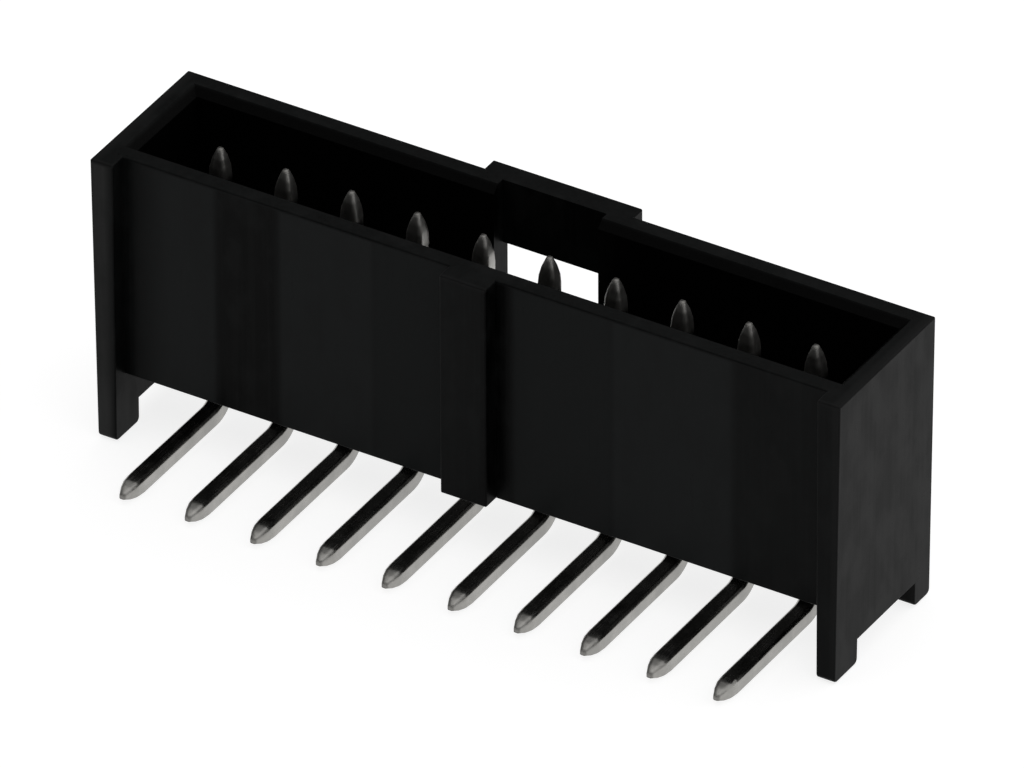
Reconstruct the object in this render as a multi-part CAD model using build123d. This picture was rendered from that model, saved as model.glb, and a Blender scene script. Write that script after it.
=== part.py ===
from build123d import *
import os

os.makedirs("parts", exist_ok=True)

# Right-angle shrouded pin header with one row of pins, standing with its mating mouth up.
# X runs along the row, -Y is the board side and +Z is the mating direction.
# The origin is the middle of the row of solder tails, on the board's surface.

# Pins
pin_count = 10
pitch = 2.54
pin_size = 0.64
corner_share = 0.15
pin_height_over_board = 3.46
mating_length = 5.9
mating_taper = 1.0
solder_length = 2.98
solder_taper = 0.9
tip_size = 0.18
tip_bevels = 3
tip_curve = 2
bend_radius = 0.9
shank_below_base = 1.21
pin_clearance = 0.01

# Shroud
end_margin = 2.93
board_to_rear = 6.22
wall = 0.87
front_setback = 0.65
base_thickness = 2.2
cavity_depth = 6.45
lead_in = 0.28
end_draft = 0.16

# Wings that carry the end walls on below the base
wing_drop = 2.37
leg_depth = 1.5
foot_depth = 1.03
notch_height = 0.92

# Rib on the front wall
rib_width = 1.77

# Slot in the rear wall and the bridge across its top
slot_width = 4.0
slot_sill = 1.0
bridge_lap = 0.87
bridge_height = 2.48
bridge_reach = 0.57

# Edge radii of the moulding
outer_radius = 0.06
foot_radius = 0.2

# Levels and places that follow from the sizes
housing_length = pitch * (pin_count - 1) + 2 * end_margin
base_z = shank_below_base + bend_radius
foot_z = base_z - wing_drop
floor_z = base_z + base_thickness
rim_z = floor_z + cavity_depth
tip_z = floor_z + mating_length
front_inner_y = front_setback + wall
rear_inner_y = board_to_rear - wall
bridge_outer_y = board_to_rear + bridge_reach
bridge_inner_y = bridge_outer_y - wall
bridge_z = rim_z - bridge_height
pin_x = [pitch * (i - (pin_count - 1) / 2) for i in range(pin_count)]


def block(half_x, y0, y1, z0, z1):
    """A block centred on the row's middle, between two depths and two levels."""
    return Pos(0, y0, z0) * Box(2 * half_x, y1 - y0, z1 - z0, align=(Align.CENTER, Align.MIN, Align.MIN))


def square_section(side):
    """A pin's square section with its four corners taken off."""
    return chamfer(Rectangle(side, side).vertices(), side * corner_share)


def end_plate():
    """One end wall from its side view: a leg at the front, a shallow notch and a foot at the rear."""
    notch_z = foot_z + notch_height
    foot_y = board_to_rear - foot_depth
    side_view = make_face(
        Polyline(
            (0, rim_z),
            (0, foot_z),
            (leg_depth, foot_z),
            (leg_depth, notch_z),
            (foot_y, notch_z),
            (foot_y, foot_z),
            (board_to_rear, foot_z),
            (board_to_rear, rim_z),
            close=True,
        )
    )
    plate = extrude(Plane.YZ * side_view, wall)
    foot_corners = plate.edges().filter_by(Axis.X).group_by(Axis.Z)[0]
    return fillet(foot_corners, foot_radius)


def draft_envelope():
    """The front view that narrows both ends of the moulding towards its feet."""
    top_half = housing_length / 2
    foot_half = top_half - end_draft
    corners = [(-top_half, rim_z), (top_half, rim_z), (foot_half, foot_z), (-foot_half, foot_z)]
    front_view = make_face(Polyline(*corners, close=True))
    return extrude(Plane.XZ * front_view, -bridge_outer_y)


def outer_form():
    """The moulding's outer form with its outside edges rounded, before anything is cored out.

    The end walls and the rib stand flush in front of the long wall.
    """
    form = block(housing_length / 2, front_setback, board_to_rear, base_z, rim_z)
    plate = end_plate()
    form += Pos(-housing_length / 2, 0, 0) * plate
    form += Pos(housing_length / 2 - wall, 0, 0) * plate
    form += block(rib_width / 2, 0, front_inner_y, base_z, rim_z)
    form &= draft_envelope()
    form += block(slot_width / 2 + bridge_lap, bridge_inner_y, bridge_outer_y, bridge_z, rim_z)
    outside_edges = [edge for edge in form.edges() if not edge.is_interior]
    return fillet(outside_edges, outer_radius)


def cavity():
    """The mating cavity, with a lead-in at 45 degrees round its mouth."""
    half_length = housing_length / 2 - wall
    width = rear_inner_y - front_inner_y
    pocket = block(half_length, front_inner_y, rear_inner_y, floor_z, rim_z)
    mouth = Rectangle(2 * (half_length + lead_in), width + 2 * lead_in)
    funnel = extrude(Pos(0, front_inner_y + width / 2, rim_z) * mouth, -lead_in, taper=45)
    return pocket + funnel


def latch_slot():
    """The slot in the rear wall: a recess behind the bridge and an open window below it."""
    sill_z = floor_z + slot_sill
    recess = block(slot_width / 2, front_inner_y, bridge_inner_y, sill_z, rim_z)
    window = block(slot_width / 2, front_inner_y, bridge_outer_y, sill_z, bridge_z)
    return recess + window


def make_housing():
    """The black moulding in one piece."""
    body = outer_form() - cavity() - latch_slot()
    hole_section = square_section(pin_size + 2 * pin_clearance)
    for x in pin_x:
        body -= extrude(Pos(x, pin_height_over_board, base_z) * hole_section, base_thickness)
    return body


def pin_tip(plane, length):
    """A four-sided point in steepening bevels, ending in a small face."""
    sections = []
    for step in range(tip_bevels + 1):
        share = step / tip_bevels
        side = pin_size - (pin_size - tip_size) * share**tip_curve
        sections.append(plane.offset(length * share) * square_section(side))
    return loft(sections, ruled=True)


def make_pin():
    """One pin: the mating shank down through the base, a right-angle bend and the solder tail."""
    y = pin_height_over_board
    shank_top = tip_z - mating_taper
    tail_end = solder_taper - solder_length
    up = Plane((0, y, shank_top), x_dir=(1, 0, 0), z_dir=(0, 0, 1))
    out = Plane((0, tail_end, 0), x_dir=(1, 0, 0), z_dir=(0, -1, 0))
    route = FilletPolyline((0, y, shank_top), (0, y, 0), (0, tail_end, 0), radius=bend_radius)
    wire = sweep(up * square_section(pin_size), path=route)
    return wire + pin_tip(up, mating_taper) + pin_tip(out, solder_taper)


export_step(make_housing(), "parts/housing.step")

pin = make_pin()
for number, x in enumerate(pin_x, start=1):
    export_step(Pos(x, 0, 0) * pin, f"parts/pin_{number:02d}.step")
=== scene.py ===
import math

import bpy
from mathutils import Matrix, Vector


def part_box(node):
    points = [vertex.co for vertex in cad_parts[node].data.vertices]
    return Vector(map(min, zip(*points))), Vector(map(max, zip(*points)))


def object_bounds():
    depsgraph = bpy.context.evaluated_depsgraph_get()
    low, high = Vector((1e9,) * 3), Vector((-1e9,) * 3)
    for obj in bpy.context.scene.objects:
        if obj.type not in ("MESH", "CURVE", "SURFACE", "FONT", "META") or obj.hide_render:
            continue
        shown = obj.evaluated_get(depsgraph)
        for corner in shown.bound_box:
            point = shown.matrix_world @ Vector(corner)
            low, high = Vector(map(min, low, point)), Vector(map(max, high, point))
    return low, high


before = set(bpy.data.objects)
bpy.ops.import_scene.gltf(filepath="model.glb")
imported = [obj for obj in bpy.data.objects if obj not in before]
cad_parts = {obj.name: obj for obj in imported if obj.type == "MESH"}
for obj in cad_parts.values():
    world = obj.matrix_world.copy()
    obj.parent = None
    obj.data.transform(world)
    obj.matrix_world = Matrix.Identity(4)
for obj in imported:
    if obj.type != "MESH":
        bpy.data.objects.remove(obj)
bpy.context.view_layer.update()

MM = 0.001
HOUSING = "housing"
PINS = sorted(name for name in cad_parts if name.startswith("pin_"))


# Node helpers

class Graph:
    """A material's node tree, with its surface shader and its coordinates in millimetres."""

    def __init__(self, name):
        self.material = bpy.data.materials.new(name)
        self.material.use_nodes = True
        self.tree = self.material.node_tree
        self.shader = self.tree.nodes["Principled BSDF"].inputs
        coords = self.add("ShaderNodeTexCoord")
        self.mm = self.vector("MULTIPLY", coords.outputs["Object"], (1 / MM, 1 / MM, 1 / MM))
        split = self.add("ShaderNodeSeparateXYZ")
        self.feed(split.inputs[0], self.mm)
        self.x, self.y, self.z = split.outputs

    def add(self, kind, **settings):
        node = self.tree.nodes.new(kind)
        for key, value in settings.items():
            setattr(node, key, value)
        return node

    def feed(self, socket, value):
        """Links a node's output to a socket, or writes a plain value on it."""
        if isinstance(value, bpy.types.NodeSocket):
            self.tree.links.new(value, socket)
        else:
            socket.default_value = value

    def math(self, operation, a, b=0.0):
        node = self.add("ShaderNodeMath", operation=operation)
        self.feed(node.inputs[0], a)
        self.feed(node.inputs[1], b)
        return node.outputs[0]

    def vector(self, operation, a, b):
        node = self.add("ShaderNodeVectorMath", operation=operation)
        self.feed(node.inputs[0], a)
        self.feed(node.inputs[1], b)
        return node.outputs[0]

    def noise(self, per_mm, detail=2.0, offset=(0.0, 0.0, 0.0)):
        """Noise between 0 and 1 with its own number of features per millimetre on each axis."""
        place = self.vector("ADD", self.vector("MULTIPLY", self.mm, per_mm), offset)
        node = self.add("ShaderNodeTexNoise")
        self.feed(node.inputs["Vector"], place)
        self.feed(node.inputs["Scale"], 1.0)
        self.feed(node.inputs["Detail"], detail)
        self.feed(node.inputs["Roughness"], 0.55)
        return node.outputs["Fac"]

    def between(self, value, low, high, to_low=0.0, to_high=1.0):
        """Maps a value smoothly from one range to another and holds it inside."""
        node = self.add("ShaderNodeMapRange", interpolation_type="SMOOTHSTEP")
        for socket, number in zip(node.inputs, (value, low, high, to_low, to_high)):
            self.feed(socket, number)
        return node.outputs[0]

    def above(self, value, place, half_fade):
        """1 above a place and 0 below it, with a soft change."""
        return self.between(value, place - half_fade, place + half_fade)

    def below(self, value, place, half_fade):
        """1 below a place and 0 above it, with a soft change."""
        return self.between(value, place - half_fade, place + half_fade, 1.0, 0.0)

    def both(self, a, b):
        return self.math("MULTIPLY", a, b)

    def either(self, a, b):
        return self.math("MAXIMUM", a, b)

    def mix(self, share, a, b):
        node = self.add("ShaderNodeMix", data_type="RGBA")
        self.feed(node.inputs["Factor"], share)
        self.feed(node.inputs[6], a)
        self.feed(node.inputs[7], b)
        return node.outputs[2]

    def soft_edges(self, radius_mm):
        """The surface's normal with its edges rounded to a small radius."""
        node = self.add("ShaderNodeBevel", samples=8)
        self.feed(node.inputs["Radius"], self.math("MULTIPLY", radius_mm, MM))
        return node.outputs["Normal"]

    def bump(self, height, distance_mm, normal=None):
        node = self.add("ShaderNodeBump")
        self.feed(node.inputs["Height"], height)
        self.feed(node.inputs["Distance"], distance_mm * MM)
        if normal:
            self.feed(node.inputs["Normal"], normal)
        return node.outputs["Normal"]


# Materials, with all lengths in millimetres

def black_plastic():
    """Black moulded plastic with a satin face, fine tool grain, flow marks and rubbed edges, with
    painted light, reflections and shade on its faces.
    """
    g = Graph("black_plastic")
    g.shader["Specular IOR Level"].default_value = 0.038
    g.shader["IOR"].default_value = 1.5

    low, high = (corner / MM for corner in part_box(HOUSING))
    from_middle = g.math("ABSOLUTE", g.x)
    cloud = g.noise(per_mm=(0.45, 0.45, 0.45))
    grain = g.noise(per_mm=(26.0, 26.0, 26.0))
    patches = g.noise(per_mm=(1.1, 1.1, 0.6), detail=4.0, offset=(7.0, 2.0, 5.0))
    streaks = g.noise(per_mm=(7.0, 7.0, 0.12), offset=(3.0, 1.0, 0.0))

    # The end walls' outsides, the front below its rim, and the mouth's inner faces, where light,
    # reflections and shade are painted
    edge_fade = 0.05
    side_start = high.x - 0.3
    front_top = high.z - 0.1
    front_back = low.y + 0.85
    mouth_front, mouth_rear, mouth_end = low.y + 1.25, low.y + 5.6, high.x - 0.65
    on_side = g.above(from_middle, side_start, 0.1)
    on_front = g.both(g.below(g.z, front_top, edge_fade), g.below(g.y, front_back, 0.15))
    across_mouth = g.both(g.above(g.y, mouth_front, edge_fade), g.below(g.y, mouth_rear, edge_fade))
    in_mouth = g.both(across_mouth, g.below(from_middle, mouth_end, edge_fade))

    # The outer edges of the rim and the ends, rubbed by handling
    reach = 0.1
    at_end = g.above(from_middle, high.x - reach, reach)
    at_front = g.below(g.y, low.y + reach, reach)
    at_rim = g.above(g.z, high.z - reach, reach)
    at_edge = g.either(g.both(at_rim, g.either(at_end, at_front)), g.both(at_end, at_front))
    rubbed = g.both(at_edge, g.between(cloud, 0.35, 0.65, to_low=0.4))

    def painted_band(start, end, start_fade=0.2, end_fade=0.2):
        """An upright band on the front between two places along the row, for painted reflections and
        painted shade.
        """
        return g.both(on_front, g.both(g.above(g.x, start, start_fade), g.below(g.x, end, end_fade)))

    black = (0.0030, 0.0033, 0.0033, 1)
    clouded = (0.0040, 0.0044, 0.0044, 1)
    # Painted light: the end walls' outsides drawn lighter, as where they catch the floor's reflection
    end_wall_painted_light = (0.0080, 0.0082, 0.0082, 1)
    # Painted reflection: the left leg's front strip drawn lighter
    left_leg_painted_reflection = (0.0280, 0.0282, 0.0280, 1)
    # Painted reflections on the front, in a pale and a faint tone
    pale_painted_reflection = (0.0124, 0.0135, 0.0137, 1)
    faint_painted_reflection = (0.0083, 0.0093, 0.0094, 1)
    # Painted dark reflection, and painted shade beside the rib
    dark_painted_reflection_and_shade = (0.0002, 0.0003, 0.0003, 1)
    flow = (0.0110, 0.0115, 0.0115, 1)
    # Painted highlight on the left leg's strip, stronger towards its foot
    left_leg_painted_highlight = (0.0420, 0.0422, 0.0420, 1)
    rub = (0.0110, 0.0110, 0.0112, 1)
    # Painted shade on the mouth's inner faces
    mouth_painted_shade = (0.0012, 0.0012, 0.0012, 1)

    colour = g.mix(g.between(cloud, 0.3, 0.7), black, clouded)
    # Painted light on the end walls' outsides
    colour = g.mix(on_side, colour, end_wall_painted_light)
    # Painted reflection: the left leg's front strip is made lighter
    on_left_leg = painted_band(-14.6, -13.7)
    colour = g.mix(on_left_leg, colour, left_leg_painted_reflection)
    # Painted reflections: upright pale and faint bands across the front
    colour = g.mix(painted_band(-12.3, -9.9, start_fade=0.7), colour, pale_painted_reflection)
    for start, end in ((-7.5, -3.8), (5.3, 9.9)):
        colour = g.mix(painted_band(start, end), colour, pale_painted_reflection)
    for start, end in ((-3.8, -1.0), (1.5, 5.3)):
        colour = g.mix(painted_band(start, end), colour, faint_painted_reflection)
    # Painted dark reflection from -9.9 to -7.5, and painted shade beside the rib from 0.7 to 1.5
    for start, end in ((-9.9, -7.5), (0.7, 1.5)):
        colour = g.mix(painted_band(start, end), colour, dark_painted_reflection_and_shade)
    colour = g.mix(g.between(streaks, 0.4, 0.7, to_high=0.2), colour, flow)
    colour = g.mix(g.between(patches, 0.45, 0.7, to_high=0.4), colour, flow)
    # Painted highlight: the left leg's strip lighter towards its foot
    low_highlight_share = g.between(g.z, 0.8, 3.0, to_low=0.8, to_high=0.0)
    colour = g.mix(g.both(on_left_leg, low_highlight_share), colour, left_leg_painted_highlight)
    colour = g.mix(rubbed, colour, rub)
    # Painted shade: the mouth's inner faces are made darker
    colour = g.mix(in_mouth, colour, mouth_painted_shade)
    g.feed(g.shader["Base Color"], colour)

    rough = g.between(patches, 0.35, 0.65, to_low=0.26, to_high=0.38)
    rough = g.math("ADD", rough, g.between(streaks, 0.3, 0.7, to_high=0.06))
    rough = g.math("ADD", rough, g.between(grain, 0.3, 0.7, to_high=0.04))
    g.feed(g.shader["Roughness"], rough)
    g.feed(g.shader["Normal"], g.bump(grain, distance_mm=0.0012))
    return g.material


def tin_plating():
    """Tin plating drawn along the wire, with soft corners, satin points and dull sheared ends."""
    g = Graph("tin_plating")
    g.shader["Metallic"].default_value = 1.0

    cloud = g.noise(per_mm=(1.6, 1.6, 1.6), detail=3.0)
    grain = g.noise(per_mm=(14.0, 14.0, 14.0))
    along_tail = g.noise(per_mm=(22.0, 0.5, 22.0))
    along_shank = g.noise(per_mm=(22.0, 22.0, 0.5))

    # The upright shank above the bend, the two points, and the small face that ends each point
    low, high = (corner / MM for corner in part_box(PINS[0]))
    shank_start = 1.0
    mating_point, mating_apex = high.z - 1.15, high.z - 0.07
    tail_point, tail_apex = low.y + 0.65, low.y + 0.07
    on_shank = g.above(g.z, shank_start, 0.4)
    at_mating_point = g.above(g.z, mating_point, 0.25)
    at_point = g.either(at_mating_point, g.below(g.y, tail_point, 0.25))
    at_apex = g.either(g.above(g.z, mating_apex, 0.05), g.below(g.y, tail_apex, 0.05))
    on_tail = g.math("SUBTRACT", 1.0, on_shank)
    drawn = g.math("ADD", g.both(along_shank, on_shank), g.both(along_tail, on_tail))

    dull = (0.31, 0.305, 0.29, 1)
    bright = (0.40, 0.39, 0.37, 1)
    scored = (0.30, 0.295, 0.28, 1)
    grained = (0.32, 0.315, 0.30, 1)
    polished = (0.50, 0.49, 0.47, 1)
    sheared = (0.20, 0.195, 0.185, 1)

    colour = g.mix(g.between(cloud, 0.3, 0.75), dull, bright)
    colour = g.mix(g.between(drawn, 0.35, 0.7, to_high=0.3), colour, scored)
    colour = g.mix(g.between(grain, 0.35, 0.65, to_high=0.2), colour, grained)
    colour = g.mix(g.math("MULTIPLY", at_mating_point, 0.5), colour, polished)
    colour = g.mix(at_apex, colour, sheared)
    g.feed(g.shader["Base Color"], colour)

    rough = g.between(cloud, 0.3, 0.7, to_low=0.18, to_high=0.24)
    rough = g.math("ADD", rough, g.between(drawn, 0.3, 0.7, to_high=0.06))
    rough = g.math("ADD", rough, g.math("MULTIPLY", at_point, 0.14))
    g.feed(g.shader["Roughness"], rough)
    corner_radius = g.between(at_point, 0.0, 1.0, to_low=0.07, to_high=0.2)
    normal = g.bump(drawn, distance_mm=0.0005, normal=g.soft_edges(corner_radius))
    g.feed(g.shader["Normal"], normal)
    return g.material


def use(node, material):
    """Puts a material on a node as its only one."""
    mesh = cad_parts[node].data
    mesh.materials.clear()
    mesh.materials.append(material)


use(HOUSING, black_plastic())
plating = tin_plating()
for pin in PINS:
    use(pin, plating)


# Floor and backdrop

def pale_ground():
    """White where the camera or a reflection sees it, with the object's soft shadow left in."""
    lit_grey = 0.8
    seen_grey = 0.34
    seen_glow = 0.83
    material = bpy.data.materials.new("pale_ground")
    material.use_nodes = True
    tree = material.node_tree
    tree.nodes.clear()
    add = tree.nodes.new
    link = tree.links.new

    lit = add("ShaderNodeBsdfDiffuse")
    lit.inputs["Color"].default_value = (lit_grey, lit_grey, lit_grey, 1)
    seen_lit = add("ShaderNodeBsdfDiffuse")
    seen_lit.inputs["Color"].default_value = (seen_grey, seen_grey, seen_grey, 1)
    glow = add("ShaderNodeEmission")
    glow.inputs["Strength"].default_value = seen_glow
    seen = add("ShaderNodeAddShader")
    link(seen_lit.outputs[0], seen.inputs[0])
    link(glow.outputs[0], seen.inputs[1])

    rays = add("ShaderNodeLightPath")
    is_seen = rays.outputs["Is Camera Ray"]
    for kind in ("Is Glossy Ray", "Is Transmission Ray"):
        either = add("ShaderNodeMath")
        either.operation = "MAXIMUM"
        link(is_seen, either.inputs[0])
        link(rays.outputs[kind], either.inputs[1])
        is_seen = either.outputs[0]

    choose = add("ShaderNodeMixShader")
    link(is_seen, choose.inputs["Fac"])
    link(lit.outputs[0], choose.inputs[1])
    link(seen.outputs[0], choose.inputs[2])
    link(choose.outputs[0], add("ShaderNodeOutputMaterial").inputs["Surface"])
    return material


def make_ground():
    """A round floor under the feet with a low upright rim far out, so that level views are white too."""
    radius = 2.5
    rim_height = 0.35
    sides = 96
    floor_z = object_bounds()[0].z - 0.01 * MM
    turns = [math.tau * i / sides for i in range(sides)]
    ring = [(radius * math.cos(turn), radius * math.sin(turn)) for turn in turns]
    verts = [(x, y, floor_z) for x, y in ring] + [(x, y, floor_z + rim_height) for x, y in ring]
    faces = [tuple(range(sides))]
    for i in range(sides):
        j = (i + 1) % sides
        faces.append((i, j, sides + j, sides + i))
    mesh = bpy.data.meshes.new("ground")
    mesh.from_pydata(verts, [], faces)
    mesh.materials.append(pale_ground())
    ground = bpy.data.objects.new("ground", mesh)
    bpy.context.scene.collection.objects.link(ground)


make_ground()


# Light

def softbox(name, place, size, watts, aim):
    """A square lamp that faces a point."""
    data = bpy.data.lights.new(name, "AREA")
    data.shape = "SQUARE"
    data.size = size
    data.energy = watts
    lamp = bpy.data.objects.new(name, data)
    lamp.location = place
    lamp.rotation_mode = "QUATERNION"
    lamp.rotation_quaternion = (Vector(aim) - Vector(place)).to_track_quat("-Z", "Y")
    bpy.context.scene.collection.objects.link(lamp)


def white_world(strength):
    world = bpy.data.worlds.new("studio")
    world.use_nodes = True
    background = world.node_tree.nodes["Background"].inputs
    background["Color"].default_value = (1, 1, 1, 1)
    background["Strength"].default_value = strength
    bpy.context.scene.world = world


softbox("overhead", place=(0.3, 0.2, 0.55), size=1.3, watts=4.8, aim=(0.3, 0.2, 0.0))
softbox("low_right", place=(0.55, 0.25, 0.13), size=0.30, watts=0.20, aim=(0.0, 0.003, 0.01))
white_world(strength=0.15)


# Camera

def make_camera():
    """A long lens from the right and above, with the angles and distance fitted to the photograph."""
    azimuth = math.radians(31.0902)
    elevation = math.radians(34.1479)
    roll = math.radians(-0.2356)
    aim = Vector((0, 3.0, 5.3454)) * MM
    across, up_shift, away = -0.0767 * MM, 0.287 * MM, 838.785 * MM

    level_x, level_y = -math.sin(azimuth), math.cos(azimuth)
    ahead = Vector((level_x * math.cos(elevation), level_y * math.cos(elevation), -math.sin(elevation)))
    level = ahead.cross(Vector((0, 0, 1))).normalized()
    upward = level.cross(ahead)
    right = math.cos(roll) * level + math.sin(roll) * upward
    up = math.cos(roll) * upward - math.sin(roll) * level
    place = aim - away * ahead - across * right - up_shift * up

    data = bpy.data.cameras.new("camera")
    data.sensor_width = 36.0
    data.lens = 893.486
    data.clip_start = 0.05
    data.clip_end = 20.0
    camera = bpy.data.objects.new("camera", data)
    turn = Matrix((right, up, -ahead)).transposed().to_4x4()
    camera.matrix_world = Matrix.Translation(place) @ turn
    bpy.context.scene.collection.objects.link(camera)
    bpy.context.scene.camera = camera


make_camera()
bpy.context.scene.view_settings.view_transform = "Standard"
